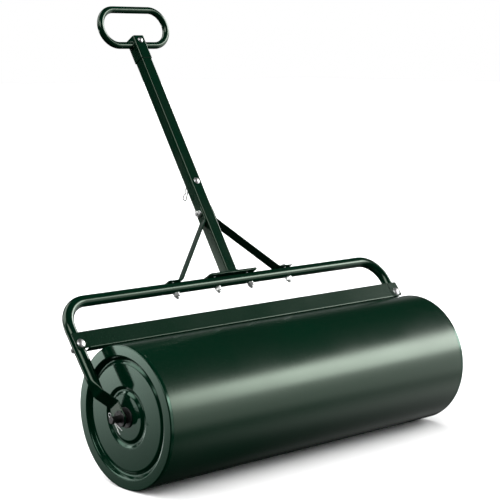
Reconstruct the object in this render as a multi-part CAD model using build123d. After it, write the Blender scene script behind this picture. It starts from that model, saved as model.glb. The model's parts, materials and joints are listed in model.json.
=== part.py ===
from build123d import *
import os
from math import cos, radians, sin, sqrt

# Lawn roller. Millimetres. +X runs along the axle, +Y points back towards the person pushing,
# +Z is up, and the origin is on the ground under the middle of the axle.
# Frame and handle pieces are drawn upright (front is -Y) and then leaned back into place.

# Drum
drum_diameter = 304.8
drum_length = 914.4
shell_wall = 1.6
cap_wall = 1.6
rim_width = 6.0            # radial width of the rolled rim
face_sink = 6.0            # how far the cap's face lies behind the rim
seam_depth = 8.0           # from the rim's edge to the end of the shell
skirt_depth = 22.0         # how far the cap's skirt reaches into the shell
outer_groove_radius = 122.0
inner_groove_radius = 57.0
groove_width = 14.0
groove_floor = 7.0
groove_depth = 6.0
press_round = 1.4          # rounding of the pressed edges

# Axle and its bearings
axle_diameter = 16.0
axle_overhang = 33.8       # from the drum's end to the axle's end
bush_clearance = 0.05
bush_wall = 5.0
bush_length = 25.0
bush_flange_radius = 22.0
bush_flange_thickness = 3.0
axle_tube_wall = 2.0
spacer_wall = 4.0
end_play = 0.5             # between each spacer and its bush
split_pin_inset = 6.0      # from the axle's end
split_pin_diameter = 3.8
split_pin_leg = 25.0
split_pin_spread = 12.0    # degrees each side
split_pin_turn = 129.0     # degrees from up, towards the front
split_pin_clearance = 0.3
split_pin_eye_radius = 4.2
split_pin_eye_wire = 2.85
split_pin_leg_diameter = 2.4
split_pin_leg_offset = 0.7 # from the shank's middle to each leg's
axle_fit = 0.1             # spacers, washers and lugs round the axle
axle_chamfer = 1.2
axle_washer_diameter = 34.0
axle_washer_thickness = 2.0

# Fill port, on the right-hand cap
fill_radius = 90.0         # from the axle
fill_angle = 45.0          # degrees from up, towards the front
fill_bore = 20.0
fill_neck_wall = 4.0
fill_neck_height = 3.0
fill_neck_depth = 8.0
gasket_thickness = 1.5
plug_clearance = 0.3
plug_flange_thickness = 3.5
plug_flange_overhang = 2.0   # beyond the gasket
plug_edge = 1.0
wing_height = 6.0
wing_thickness = 5.0
wing_corner = 2.0

# Bent tube frame
frame_lean = 38.0          # degrees from upright
frame_tube_diameter = 25.4
frame_tube_wall = 2.0
frame_height = 279.0       # from the axle to the cross tube, along the arms
frame_corner_radius = 62.0
arm_clearance = 34.6       # from the drum's end to the middle of an arm
lug_width = 36.0
lug_thickness = 4.0
lug_gap = 6.3              # from the drum's end to the lug
lug_length = 33.0          # straight part of the lug, up from the axle
joggle_length = 30.0       # along the arm, where the flattened tube steps inwards
crimp_length = 28.0        # round tube to flat
crimp_thickness = 4.8      # where the tube is flat
crimp_overlap = 4.0        # the flat bar's run up inside the crimp
joggle_drop = 3.0          # from the crimp to the inward step

# Scraper
scraper_thickness = 2.0
scraper_height = 40.0
scraper_gap = 10.6         # from the drum's surface to the blade's lower edge
scraper_end = 14.2         # beyond the middle of each arm
scraper_flange = 16.0
scraper_flange_gap = 3.0   # from the arm to the flange's end
scraper_corner = 4.0
scraper_bolt_drop = 26.0   # from the blade's top edge to its bolts

# Handle
handle_lean = 32.4         # degrees from upright
bar_size = 30.0            # square tube, both lengths
bar_wall = 2.0
bar_corner = 3.0
slip = 0.2                 # between the spigot and the tubes around it
joint_height = 190.0       # where the upper tube meets the lower, from the cross tube's axis
handle_top = 661.0
spigot_below = 75.0
spigot_above = 100.0
plate_length = 148.0
plate_width = 40.0
plate_thickness = 4.0
plate_bolt_pitch = 102.0
plate_corner = 6.0
pin_height = 257.0
pin_diameter = 8.0
pin_clearance = 0.08
pin_head_diameter = 16.6
pin_tail = 10.0            # beyond the back of the tube
pin_chamfer = 1.0
clip_wire = 2.0
clip_turn = 35.0           # degrees from straight down the handle
clip_stand_off = 5.5       # from the tube's back to the clip's wire
clip_tail = 14.0           # straight leg's end beyond the pin
clip_reach = 38.0          # from the pin to the clip's round end
clip_bend_radius = 4.25
clip_shoulder = 8.0        # waved leg's first straight part
clip_dip = (20.0, 3.6)     # its low point, along the clip and off the straight leg
clip_saddle = (10.0, -4.0) # its run past the pin, from and to
clip_pin_gap = 1.0         # between that run and the pin
clip_tip = (-12.0, 3.0)    # its end, and how far that lifts
clip_wave_radius = 3.0

# Braces
brace_width = 25.0
brace_thickness = 3.0
brace_bolt_drop = 13.0     # from the brace's top end to its bolt
brace_bend_drop = 34.0     # from the brace's top end to its bend
brace_foot_start = 152.0
brace_foot_length = 42.0
brace_foot_bolt = 24.0     # from the foot's bend to its bolt

# Grip
sleeve_wall = 1.85
sleeve_gap = 0.15
sleeve_length = 63.0
sleeve_proud = 2.3         # sleeve's top above the tube's top
sleeve_bolt_drop = 13.5
grip_drop = 19.0           # from the sleeve's top to the grip's lower bar
grip_tube_diameter = 17.0
grip_tube_wall = 1.5
grip_bend_radius = 45.5
grip_straight = 110.0
grip_lean = 14.0           # degrees forward of the handle

# M8 fasteners
bolt_diameter = 8.0
hole_clearance = 0.3
hex_width = 13.0
hex_head_height = 5.3
nut_height = 6.5
washer_diameter = 16.0
washer_thickness = 1.6
thread_proud = 5.0
dome_diameter = 20.0
dome_height = 4.6
small_dome_diameter = 14.4
hex_turn_down = 0.6
thread_chamfer = 0.8

# Worked out from the sizes above
drum_radius = drum_diameter / 2
drum_end = drum_length / 2
axle_radius = axle_diameter / 2
axle_end = drum_end + axle_overhang
cap_face = drum_end - face_sink
bush_outer = axle_radius + bush_clearance + bush_wall
bush_face = cap_face + bush_flange_thickness
arm_x = drum_end + arm_clearance
tube_radius = frame_tube_diameter / 2
lug_inner = drum_end + lug_gap
lug_outer = lug_inner + lug_thickness
lug_middle = lug_inner + lug_thickness / 2
crimp_end = lug_length + joggle_length
crimp_start = crimp_end + crimp_length
bolt_radius = bolt_diameter / 2
hole_radius = bolt_radius + hole_clearance
bar_half = bar_size / 2
bar_inner = bar_size - 2 * bar_wall
spigot_size = bar_inner - 2 * slip
sleeve_size = bar_size + 2 * (sleeve_wall + sleeve_gap)
sleeve_half = sleeve_size / 2
sleeve_top = handle_top + sleeve_proud
grip_height = sleeve_top - grip_drop
sleeve_bolt_height = sleeve_top - sleeve_bolt_drop
brace_bolt_height = joint_height - brace_bolt_drop
foot_bolt_x = brace_foot_start + brace_foot_bolt
plate_bolt_x = plate_bolt_pitch / 2
blade_front = -tube_radius - scraper_thickness
blade_bottom = sqrt((drum_radius + scraper_gap) ** 2 - blade_front ** 2)
blade_top = blade_bottom + scraper_height
scraper_bolt_height = blade_top - scraper_bolt_drop

# Places: each is the frame of reference that a group of pieces is drawn in
drum_at = Pos(0, 0, drum_radius)
frame_at = drum_at * Rot(-frame_lean, 0, 0)
handle_at = frame_at * Pos(0, 0, frame_height) * Rot(frame_lean - handle_lean, 0, 0)
fill_at = drum_at * Rot(fill_angle, 0, 0) * Pos(cap_face, 0, fill_radius) * Rot(0, 90, 0)
pin_at = handle_at * Pos(0, 0, pin_height)
grip_at = handle_at * Pos(0, 0, grip_height) * Rot(grip_lean, 0, 0)


def cylinder_x(radius, start, end):
    return Pos((start + end) / 2, 0, 0) * Rot(0, 90, 0) * Cylinder(radius, end - start)


def cylinder_y(radius, start, end):
    return Pos(0, (start + end) / 2, 0) * Rot(90, 0, 0) * Cylinder(radius, end - start)


def cylinder_z(radius, start, end):
    return Pos(0, 0, (start + end) / 2) * Cylinder(radius, end - start)


def mirrored(solid):
    return mirror(solid, about=Plane.YZ)


def square_tube(size, wall, corner, start, end):
    outer = RectangleRounded(size, size, corner)
    inner_size = size - 2 * wall
    inner = RectangleRounded(inner_size, inner_size, max(corner - wall, 0.5))
    return Pos(0, 0, start) * extrude(outer - inner, end - start)


def strip(points, thickness, width):
    """A flat bar bent along points in the XZ plane, centred on y = 0."""
    sides = ([], [])
    for i, (x, z) in enumerate(points):
        before = points[max(i - 1, 0)]
        after = points[min(i + 1, len(points) - 1)]
        headings = []
        for start, end in ((before, (x, z)), ((x, z), after)):
            run = sqrt((end[0] - start[0]) ** 2 + (end[1] - start[1]) ** 2)
            if run > 0:
                headings.append(((end[0] - start[0]) / run, (end[1] - start[1]) / run))
        hx = (headings[0][0] + headings[-1][0]) / 2
        hz = (headings[0][1] + headings[-1][1]) / 2
        mitre = thickness / 2 / (hx * hx + hz * hz)
        sides[0].append((x - hz * mitre, z + hx * mitre))
        sides[1].append((x + hz * mitre, z - hx * mitre))
    outline = [Vector(x, 0, z) for x, z in sides[0] + sides[1][::-1]]
    face = make_face(Polyline(*outline, close=True))
    return extrude(face, width / 2, dir=(0, 1, 0), both=True)


def dome(radius, height):
    ball = (radius ** 2 + height ** 2) / (2 * height)
    return (Pos(0, 0, height - ball) * Sphere(ball)) & cylinder_z(radius, 0, height)


def hexagon(height):
    """A six-sided nut or head from z = 0 up, with its corners turned down."""
    corner = hex_width / sqrt(3)
    blank = chamfer(cylinder_z(corner, 0, height).edges().filter_by(GeomType.CIRCLE), hex_turn_down)
    return extrude(RegularPolygon(corner, 6), height) & blank


def hex_bolt(length):
    """Head above z = 0, shank below it."""
    tip = chamfer(cylinder_z(bolt_radius, -length, 0).edges().sort_by(Axis.Z)[0], thread_chamfer)
    return hexagon(hex_head_height) + tip


def dome_bolt(length, head_diameter):
    tip = chamfer(cylinder_z(bolt_radius, -length, 0).edges().sort_by(Axis.Z)[0], thread_chamfer)
    return dome(head_diameter / 2, dome_height) + tip


def nut():
    return hexagon(nut_height) - cylinder_z(bolt_radius, -1, nut_height + 1)


def washer():
    ring = cylinder_z(washer_diameter / 2, 0, washer_thickness)
    return ring - cylinder_z(bolt_radius, -1, washer_thickness + 1)


# Drum

def drum_shell():
    reach = drum_end - seam_depth
    outer = cylinder_x(drum_radius, -reach, reach)
    return drum_at * (outer - cylinder_x(drum_radius - shell_wall, -reach - 1, reach + 1))


def groove_points(middle, face, half_width, half_floor):
    floor = face - groove_depth
    return [(face, middle + half_width), (floor, middle + half_floor),
            (floor, middle - half_floor), (face, middle - half_width)]


def end_cap():
    """The right-hand cap: rolled rim, sunk face, two pressed grooves and a hole for the bush."""
    back = cap_face - cap_wall
    widening = cap_wall * 0.5      # of each groove's back, for an even wall
    skirt_outer = drum_radius - shell_wall
    skirt_inner = skirt_outer - cap_wall
    front_side = [(drum_end - seam_depth, drum_radius), (drum_end, drum_radius),
                  (drum_end, drum_radius - rim_width), (cap_face, drum_radius - rim_width)]
    for middle in (outer_groove_radius, inner_groove_radius):
        front_side += groove_points(middle, cap_face, groove_width / 2, groove_floor / 2)
    front_side.append((cap_face, bush_outer))
    back_side = [(back, bush_outer)]
    for middle in (inner_groove_radius, outer_groove_radius):
        points = groove_points(middle, back, groove_width / 2 + widening, groove_floor / 2 + widening)
        back_side += points[::-1]
    back_side += [(back, skirt_inner), (drum_end - skirt_depth, skirt_inner),
                  (drum_end - skirt_depth, skirt_outer), (drum_end - seam_depth, skirt_outer)]
    face = make_face(Polyline(*front_side, *back_side, close=True))
    rim = [v for v in face.vertices() if abs(v.X - drum_end) < 0.01]
    face = fillet(rim, rim_width / 2 - 0.1)
    grooves_from = cap_face - groove_depth - 0.01
    pressed = [v for v in face.vertices()
               if bush_outer + 1 < v.Y < drum_radius - rim_width - 1 and v.X > grooves_from]
    face = fillet(pressed, press_round)
    return revolve(face, Axis.X)


def fill_hole():
    return fill_at * cylinder_z(fill_bore / 2 + fill_neck_wall, -groove_depth, groove_depth)


def drum_end_cap_right():
    return drum_at * end_cap() - fill_hole()


def drum_end_cap_left():
    return drum_at * mirrored(end_cap())


def axle_tube():
    reach = cap_face - cap_wall
    outer = cylinder_x(bush_outer + axle_tube_wall, -reach, reach)
    return drum_at * (outer - cylinder_x(bush_outer, -reach - 1, reach + 1))


def bush():
    barrel = cylinder_x(bush_outer, cap_face - bush_length, bush_face)
    flange = cylinder_x(bush_flange_radius, cap_face, bush_face)
    hole = cylinder_x(axle_radius + bush_clearance, cap_face - bush_length - 1, bush_face + 1)
    return barrel + flange - hole


def fill_neck():
    outer = cylinder_z(fill_bore / 2 + fill_neck_wall, -fill_neck_depth, fill_neck_height)
    return fill_at * (outer - cylinder_z(fill_bore / 2, -fill_neck_depth - 1, fill_neck_height + 1))


def fill_plug():
    """Plain-shanked screw plug with a round flange and a wing to turn it by."""
    seat = fill_neck_height + gasket_thickness
    flange_top = seat + plug_flange_thickness
    shank_radius = fill_bore / 2 - plug_clearance
    shank = cylinder_z(shank_radius, -fill_neck_depth, seat)
    flange = cylinder_z(fill_bore / 2 + fill_neck_wall + plug_flange_overhang, seat, flange_top)
    flange = fillet(flange.edges().filter_by(GeomType.CIRCLE).sort_by(Axis.Z)[-1], plug_edge)
    wing = Pos(0, 0, (seat + flange_top + wing_height) / 2) \
        * Box(wing_thickness, fill_bore, flange_top + wing_height - seat)
    wing = fillet(wing.edges().filter_by(Axis.Z), wing_corner)
    return fill_at * (shank + flange + wing)


def plug_gasket():
    seat = fill_neck_height + gasket_thickness
    outer = cylinder_z(fill_bore / 2 + fill_neck_wall, fill_neck_height, seat)
    return fill_at * (outer - cylinder_z(fill_bore / 2, fill_neck_height - 1, seat + 1))


# Frame

def arm_end():
    """The right arm's end: tube crimped flat, stepped inwards and rounded off round the axle."""
    round_face = Pos(arm_x, 0, crimp_start) * Circle(tube_radius)
    flat_face = Pos(arm_x, 0, crimp_end) * Ellipse(crimp_thickness / 2, lug_width / 2)
    crimp = loft([round_face, flat_face])
    line = [(arm_x, crimp_end + crimp_overlap), (arm_x, crimp_end - joggle_drop),
            (lug_middle, lug_length), (lug_middle, 0)]
    bar = strip(line, lug_thickness, lug_width)
    eye = cylinder_x(lug_width / 2, lug_inner, lug_outer)
    return crimp + bar + eye


def frame_tube():
    path = FilletPolyline((-arm_x, 0, crimp_start), (-arm_x, 0, frame_height),
                          (arm_x, 0, frame_height), (arm_x, 0, crimp_start),
                          radius=frame_corner_radius)
    start = Plane(origin=(-arm_x, 0, crimp_start), z_dir=(0, 0, 1))
    tube = sweep(start * (Circle(tube_radius) - Circle(tube_radius - frame_tube_wall)), path=path)
    tube += arm_end()
    tube += mirrored(arm_end())
    tube -= cylinder_x(axle_radius + axle_fit, -axle_end, axle_end)
    across = frame_tube_diameter
    for side in (-1, 1):
        tube -= Pos(side * arm_x, 0, scraper_bolt_height) * cylinder_y(hole_radius, -across, across)
    tube = frame_at * tube
    for x in (plate_bolt_x, foot_bolt_x):
        for side in (-1, 1):
            tube -= handle_at * Pos(side * x, 0, 0) * cylinder_z(hole_radius, -across, across)
    return tube


def axle():
    rod = cylinder_x(axle_radius, -axle_end, axle_end)
    rod = chamfer(rod.edges().filter_by(GeomType.CIRCLE), axle_chamfer)
    for side in (-1, 1):
        hole = cylinder_z(split_pin_diameter / 2 + split_pin_clearance, -axle_diameter, axle_diameter)
        rod -= Pos(side * (axle_end - split_pin_inset), 0, 0) * Rot(split_pin_turn, 0, 0) * hole
    return drum_at * rod


def axle_spacer():
    """Right-hand sleeve that keeps the drum off the lug."""
    outer = cylinder_x(axle_radius + spacer_wall, bush_face + end_play, lug_inner)
    return outer - cylinder_x(axle_radius + axle_fit, bush_face, lug_outer)


def axle_washers():
    face = lug_outer + axle_washer_thickness
    ring = cylinder_x(axle_washer_diameter / 2, lug_outer, face)
    ring -= cylinder_x(axle_radius + axle_fit, lug_inner, face + 1)
    return drum_at * Compound(children=[ring.solid(), mirrored(ring).solid()])


def split_pin():
    """Eye at the bottom, shank up through the axle, two legs spread beyond it."""
    radius = split_pin_diameter / 2
    eye_at = -axle_radius - split_pin_eye_radius - radius
    eye = Pos(0, 0, eye_at) * Rot(0, 90, 0) * Torus(split_pin_eye_radius, split_pin_eye_wire / 2)
    shank = cylinder_z(radius, eye_at + split_pin_eye_radius, axle_radius + 1)
    leg = cylinder_z(split_pin_leg_diameter / 2, -1, split_pin_leg)
    pin = eye + shank
    for side in (-1, 1):
        pin += Pos(0, side * split_pin_leg_offset, axle_radius) * Rot(side * -split_pin_spread, 0, 0) * leg
    return pin


def split_pin_at(side):
    return drum_at * Pos(side * (axle_end - split_pin_inset), 0, 0) * Rot(split_pin_turn, 0, 0) * split_pin()


def scraper_blade():
    end = arm_x + scraper_end
    flange_end = arm_x - tube_radius - scraper_flange_gap
    middle = (blade_top + blade_bottom) / 2
    plate = Pos(0, blade_front + scraper_thickness / 2, middle) \
        * Box(2 * end, scraper_thickness, scraper_height)
    plate = fillet(plate.edges().filter_by(Axis.Y), scraper_corner)
    flange = Pos(0, blade_front + scraper_flange / 2, blade_bottom + scraper_thickness / 2) \
        * Box(2 * flange_end, scraper_flange, scraper_thickness)
    blade = plate + flange
    for side in (-1, 1):
        hole = cylinder_y(hole_radius, blade_front - 1, blade_front + scraper_thickness + 1)
        blade -= Pos(side * arm_x, 0, scraper_bolt_height) * hole
    return frame_at * blade


def scraper_bolts():
    length = scraper_thickness + frame_tube_diameter + nut_height + thread_proud
    bolts = []
    for side in (-1, 1):
        place = frame_at * Pos(side * arm_x, blade_front, scraper_bolt_height) * Rot(90, 0, 0)
        bolts.append((place * dome_bolt(length, dome_diameter)).solid())
    return Compound(children=bolts)


def scraper_nuts():
    nuts = []
    for side in (-1, 1):
        place = frame_at * Pos(side * arm_x, tube_radius, scraper_bolt_height) * Rot(-90, 0, 0)
        nuts.append((place * nut()).solid())
    return Compound(children=nuts)


# Drawbar and braces

def drawbar_plate():
    plate = Pos(0, 0, tube_radius + plate_thickness / 2) * Box(plate_length, plate_width, plate_thickness)
    plate = fillet(plate.edges().filter_by(Axis.Z), plate_corner)
    for side in (-1, 1):
        plate -= Pos(side * plate_bolt_x, 0, 0) * cylinder_z(hole_radius, 0, frame_tube_diameter)
    return handle_at * plate


def under_tube(x, piece, depth):
    """A pair of pieces hung under the cross tube, at +x and -x."""
    pair = []
    for side in (-1, 1):
        place = handle_at * Pos(side * x, 0, -tube_radius - depth)
        pair.append((place * piece).solid())
    return Compound(children=pair)


def through_bolts(x, seat):
    """A pair of bolts down through the cross tube, with their heads at height seat."""
    length = seat + tube_radius + washer_thickness + nut_height + thread_proud
    pair = []
    for side in (-1, 1):
        pair.append((handle_at * Pos(side * x, 0, seat) * hex_bolt(length)).solid())
    return Compound(children=pair)


def drawbar_tube():
    bottom = tube_radius + plate_thickness
    tube = square_tube(bar_size, bar_wall, bar_corner, bottom, joint_height - slip)
    tube -= Pos(0, 0, brace_bolt_height) * cylinder_x(hole_radius, -bar_size, bar_size)
    return handle_at * tube


def drawbar_spigot():
    corner = max(bar_corner - bar_wall, 0.5)
    tube = square_tube(spigot_size, bar_wall, corner + bar_wall,
                       joint_height - spigot_below, joint_height + spigot_above)
    tube -= Pos(0, 0, brace_bolt_height) * cylinder_x(hole_radius, -bar_size, bar_size)
    tube -= Pos(0, 0, pin_height) * cylinder_y(pin_diameter / 2 + pin_clearance, -bar_size, bar_size)
    return handle_at * tube


def brace():
    """The right-hand brace."""
    side_x = bar_half + brace_thickness / 2
    foot_z = tube_radius + brace_thickness / 2
    line = [(side_x, joint_height), (side_x, joint_height - brace_bend_drop),
            (brace_foot_start, foot_z), (brace_foot_start + brace_foot_length, foot_z)]
    bar = strip(line, brace_thickness, brace_width)
    bar -= Pos(0, 0, brace_bolt_height) * cylinder_x(hole_radius, 0, bar_size)
    bar -= Pos(foot_bolt_x, 0, 0) * cylinder_z(hole_radius, 0, bar_size)
    return bar


def brace_bolt():
    seat = bar_half + brace_thickness + washer_thickness
    length = 2 * seat + nut_height + thread_proud
    return handle_at * Pos(seat, 0, brace_bolt_height) * Rot(0, 90, 0) * hex_bolt(length)


def brace_bolt_nut():
    seat = bar_half + brace_thickness + washer_thickness
    return handle_at * Pos(-seat, 0, brace_bolt_height) * Rot(0, -90, 0) * nut()


def brace_bolt_washers():
    seat = bar_half + brace_thickness
    ring = Pos(seat, 0, brace_bolt_height) * Rot(0, 90, 0) * washer()
    return handle_at * Compound(children=[ring.solid(), mirrored(ring).solid()])


# Handle and grip

def handle_tube():
    tube = square_tube(bar_size, bar_wall, bar_corner, joint_height, handle_top)
    tube -= Pos(0, 0, pin_height) * cylinder_y(pin_diameter / 2 + pin_clearance, -bar_size, bar_size)
    tube -= Pos(0, 0, sleeve_bolt_height) * cylinder_y(hole_radius, -bar_size, bar_size)
    return handle_at * tube


def grip_sleeve():
    sleeve = square_tube(sleeve_size, sleeve_wall, bar_corner + sleeve_wall,
                         sleeve_top - sleeve_length, sleeve_top)
    sleeve -= Pos(0, 0, sleeve_bolt_height) * cylinder_y(hole_radius, -sleeve_size, sleeve_size)
    return handle_at * sleeve


def grip_loop():
    """A bent tube whose two ends meet the sides of the sleeve."""
    half = grip_straight / 2
    top = 2 * grip_bend_radius
    outside = half + grip_bend_radius
    path = Line((-sleeve_half, 0, 0), (-half, 0, 0))
    path += ThreePointArc((-half, 0, 0), (-outside, 0, grip_bend_radius), (-half, 0, top))
    path += Line((-half, 0, top), (half, 0, top))
    path += ThreePointArc((half, 0, top), (outside, 0, grip_bend_radius), (half, 0, 0))
    path += Line((half, 0, 0), (sleeve_half, 0, 0))
    radius = grip_tube_diameter / 2
    start = Plane(origin=(-sleeve_half, 0, 0), z_dir=(-1, 0, 0))
    return grip_at * sweep(start * (Circle(radius) - Circle(radius - grip_tube_wall)), path=path)


def grip_bolt():
    length = sleeve_size + nut_height + thread_proud
    place = handle_at * Pos(0, -sleeve_half, sleeve_bolt_height) * Rot(90, 0, 0)
    return place * dome_bolt(length, small_dome_diameter)


def grip_nut():
    return handle_at * Pos(0, sleeve_half, sleeve_bolt_height) * Rot(-90, 0, 0) * nut()


def clip_plane():
    """At the pin's cross hole: x runs down the clip from the pin, and y across it."""
    along = (-sin(radians(clip_turn)), 0, -cos(radians(clip_turn)))
    return Plane(origin=(0, bar_half + clip_stand_off, 0), x_dir=along, z_dir=(0, 1, 0))


def hitch_pin():
    radius = pin_diameter / 2
    shank = cylinder_y(radius, -bar_half, bar_half + pin_tail)
    shank = chamfer(shank.edges().filter_by(GeomType.CIRCLE).sort_by(Axis.Y)[-1], pin_chamfer)
    head = Pos(0, -bar_half, 0) * Rot(90, 0, 0) * dome(pin_head_diameter / 2, dome_height)
    hole = clip_plane().location * cylinder_x(clip_wire / 2 + pin_clearance, -pin_diameter, pin_diameter)
    return pin_at * (shank + head - hole)


def r_clip():
    """One leg through the pin, a round end, and a waved leg that passes outside the pin."""
    reach = clip_reach
    bend = clip_bend_radius
    over_pin = (pin_diameter + clip_wire) / 2 + clip_pin_gap
    path = Line((-clip_tail, 0), (reach, 0))
    path += ThreePointArc((reach, 0), (reach + bend, bend), (reach, 2 * bend))
    path += FilletPolyline((reach, 2 * bend), (reach - clip_shoulder, 2 * bend), clip_dip,
                           (clip_saddle[0], over_pin), (clip_saddle[1], over_pin),
                           (clip_tip[0], over_pin + clip_tip[1]), radius=clip_wave_radius)
    start = Plane(origin=(-clip_tail, 0, 0), z_dir=(1, 0, 0))
    return pin_at * (clip_plane().location * sweep(start * Circle(clip_wire / 2), path=path))


def make_parts():
    plate_seat = tube_radius + plate_thickness
    foot_seat = tube_radius + brace_thickness
    return {
        "drum_shell": drum_shell(),
        "drum_end_cap_left": drum_end_cap_left(),
        "drum_end_cap_right": drum_end_cap_right(),
        "axle_tube": axle_tube(),
        "bush_left": drum_at * mirrored(bush()),
        "bush_right": drum_at * bush(),
        "fill_neck": fill_neck(),
        "fill_plug": fill_plug(),
        "plug_gasket": plug_gasket(),
        "frame_tube": frame_tube(),
        "axle": axle(),
        "axle_spacer_left": drum_at * mirrored(axle_spacer()),
        "axle_spacer_right": drum_at * axle_spacer(),
        "axle_washers": axle_washers(),
        "split_pin_left": split_pin_at(-1),
        "split_pin_right": split_pin_at(1),
        "scraper_blade": scraper_blade(),
        "scraper_bolts": scraper_bolts(),
        "scraper_nuts": scraper_nuts(),
        "drawbar_plate": drawbar_plate(),
        "plate_bolts": through_bolts(plate_bolt_x, plate_seat),
        "plate_washers": under_tube(plate_bolt_x, washer(), washer_thickness),
        "plate_nuts": under_tube(plate_bolt_x, nut(), washer_thickness + nut_height),
        "drawbar_tube": drawbar_tube(),
        "drawbar_spigot": drawbar_spigot(),
        "brace_left": handle_at * mirrored(brace()),
        "brace_right": handle_at * brace(),
        "brace_foot_bolts": through_bolts(foot_bolt_x, foot_seat),
        "brace_foot_washers": under_tube(foot_bolt_x, washer(), washer_thickness),
        "brace_foot_nuts": under_tube(foot_bolt_x, nut(), washer_thickness + nut_height),
        "brace_bolt": brace_bolt(),
        "brace_bolt_nut": brace_bolt_nut(),
        "brace_bolt_washers": brace_bolt_washers(),
        "handle_tube": handle_tube(),
        "grip_sleeve": grip_sleeve(),
        "grip_loop": grip_loop(),
        "grip_bolt": grip_bolt(),
        "grip_nut": grip_nut(),
        "hitch_pin": hitch_pin(),
        "r_clip": r_clip(),
    }


os.makedirs("parts", exist_ok=True)
for name, solid in make_parts().items():
    export_step(solid, f"parts/{name}.step")
    print(name)
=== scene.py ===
import bmesh
import bpy
import json
from math import acos, atan2, cos, pi, radians, sin, sqrt, tan
from mathutils import Matrix, Vector


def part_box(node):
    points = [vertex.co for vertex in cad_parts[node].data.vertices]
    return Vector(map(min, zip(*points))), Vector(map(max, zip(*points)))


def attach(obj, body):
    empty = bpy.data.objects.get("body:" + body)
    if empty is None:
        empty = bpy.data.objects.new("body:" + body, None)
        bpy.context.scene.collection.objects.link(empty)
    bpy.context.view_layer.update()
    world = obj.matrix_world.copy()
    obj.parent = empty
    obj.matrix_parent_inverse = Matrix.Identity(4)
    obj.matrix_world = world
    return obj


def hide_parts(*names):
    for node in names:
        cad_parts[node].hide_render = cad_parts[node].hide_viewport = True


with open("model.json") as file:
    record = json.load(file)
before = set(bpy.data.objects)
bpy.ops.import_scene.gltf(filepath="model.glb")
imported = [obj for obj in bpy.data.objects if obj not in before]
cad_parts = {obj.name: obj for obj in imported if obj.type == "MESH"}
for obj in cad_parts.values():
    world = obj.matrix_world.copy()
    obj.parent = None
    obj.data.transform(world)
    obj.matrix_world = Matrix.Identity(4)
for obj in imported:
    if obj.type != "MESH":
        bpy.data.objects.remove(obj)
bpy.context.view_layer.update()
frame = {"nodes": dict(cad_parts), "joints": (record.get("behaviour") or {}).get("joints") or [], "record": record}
print("frame loaded,", len(frame["nodes"]), "CAD nodes")

# Places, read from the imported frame. Metres, +X along the axle, +Y back, +Z up.
joints = {joint["name"]: joint for joint in frame["joints"]}
mounts = {mount["name"]: mount for mount in frame["record"]["mounts"]}
axlePoint = Vector(joints["drum_roll"]["pos_m"])
crossPoint = Vector((0, *mounts["cross_tube"]["pos_m"][1:]))
gripPoint = Vector((0, *mounts["grip_bar"]["pos_m"][1:]))
pinAxis = Vector(joints["hitch_pin_slide"]["axis"])
clipAxis = Vector(joints["r_clip_pull"]["axis"])
frameLean = atan2(crossPoint.y, crossPoint.z - axlePoint.z)
handleLean = atan2(pinAxis.z, -pinAxis.y)
frameHeight = (crossPoint - axlePoint).length


def leaned(point, lean):
    return Matrix.Translation(point) @ Matrix.Rotation(-lean, 4, "X")


def shift(x=0.0, y=0.0, z=0.0):
    return Matrix.Translation((x, y, z))


def turn(angle, axis):
    return Matrix.Rotation(radians(angle), 4, axis)


drumAt = Matrix.Translation(axlePoint)
frameAt = leaned(axlePoint, frameLean)
handleAt = leaned(crossPoint, handleLean)
rightEnd = drumAt @ turn(90, "Y")    # local z points out of the right-hand end
leftEnd = drumAt @ turn(-90, "Y")
drumRadius = (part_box("drum_shell")[1].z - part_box("drum_shell")[0].z) / 2
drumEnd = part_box("drum_end_cap_right")[1].x
tubeRadius = mounts["cross_tube"]["dims"]["r_mm"] / 1000
gripTubeRadius = mounts["grip_bar"]["dims"]["r_mm"] / 1000


def linked(name, data):
    made = bpy.data.objects.new(name, data)
    bpy.context.scene.collection.objects.link(made)
    return made


# Turns a bmesh into a mesh at its place, facing outwards, smooth except at sharp edges.
def finishMesh(name, build, place=Matrix.Identity(4), sharp=32.0):
    bmesh.ops.remove_doubles(build, verts=build.verts, dist=1e-7)
    bmesh.ops.transform(build, matrix=place, verts=build.verts)
    bmesh.ops.recalc_face_normals(build, faces=build.faces)
    mesh = bpy.data.meshes.new(name)
    build.to_mesh(mesh)
    build.free()
    mesh.shade_smooth()
    mesh.set_sharp_from_angle(angle=radians(sharp))
    return mesh


# Joins rings of points, each with the same count, into a closed skin.
def skin(rings, loop=False, caps=True):
    build = bmesh.new()
    rows = [[build.verts.new(point) for point in ring] for ring in rings]
    count = len(rows[0])
    pairs = list(zip(rows, rows[1:] + rows[:1])) if loop else list(zip(rows, rows[1:]))
    for lower, upper in pairs:
        for i in range(count):
            j = (i + 1) % count
            build.faces.new((lower[i], lower[j], upper[j], upper[i]))
    if caps and not loop:
        build.faces.new(rows[0][::-1])
        build.faces.new(rows[-1])
    return build


def joinBuild(first, second):
    temporary = bpy.data.meshes.new("joined")
    second.to_mesh(temporary)
    second.free()
    first.from_mesh(temporary)
    bpy.data.meshes.remove(temporary)
    return first


def circleRing(radius, height, steps):
    return [Vector((radius * cos(2 * pi * i / steps), radius * sin(2 * pi * i / steps), height))
            for i in range(steps)]


# Spins (radius, height) points about local z. A radius of 0 closes the end.
def lathe(profile, steps=96, loop=False):
    build = skin([circleRing(max(radius, 1e-6), height, steps) for radius, height in profile], loop=loop)
    bmesh.ops.remove_doubles(build, verts=build.verts, dist=5e-6)
    bmesh.ops.dissolve_degenerate(build, edges=build.edges, dist=1e-7)
    return build


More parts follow.
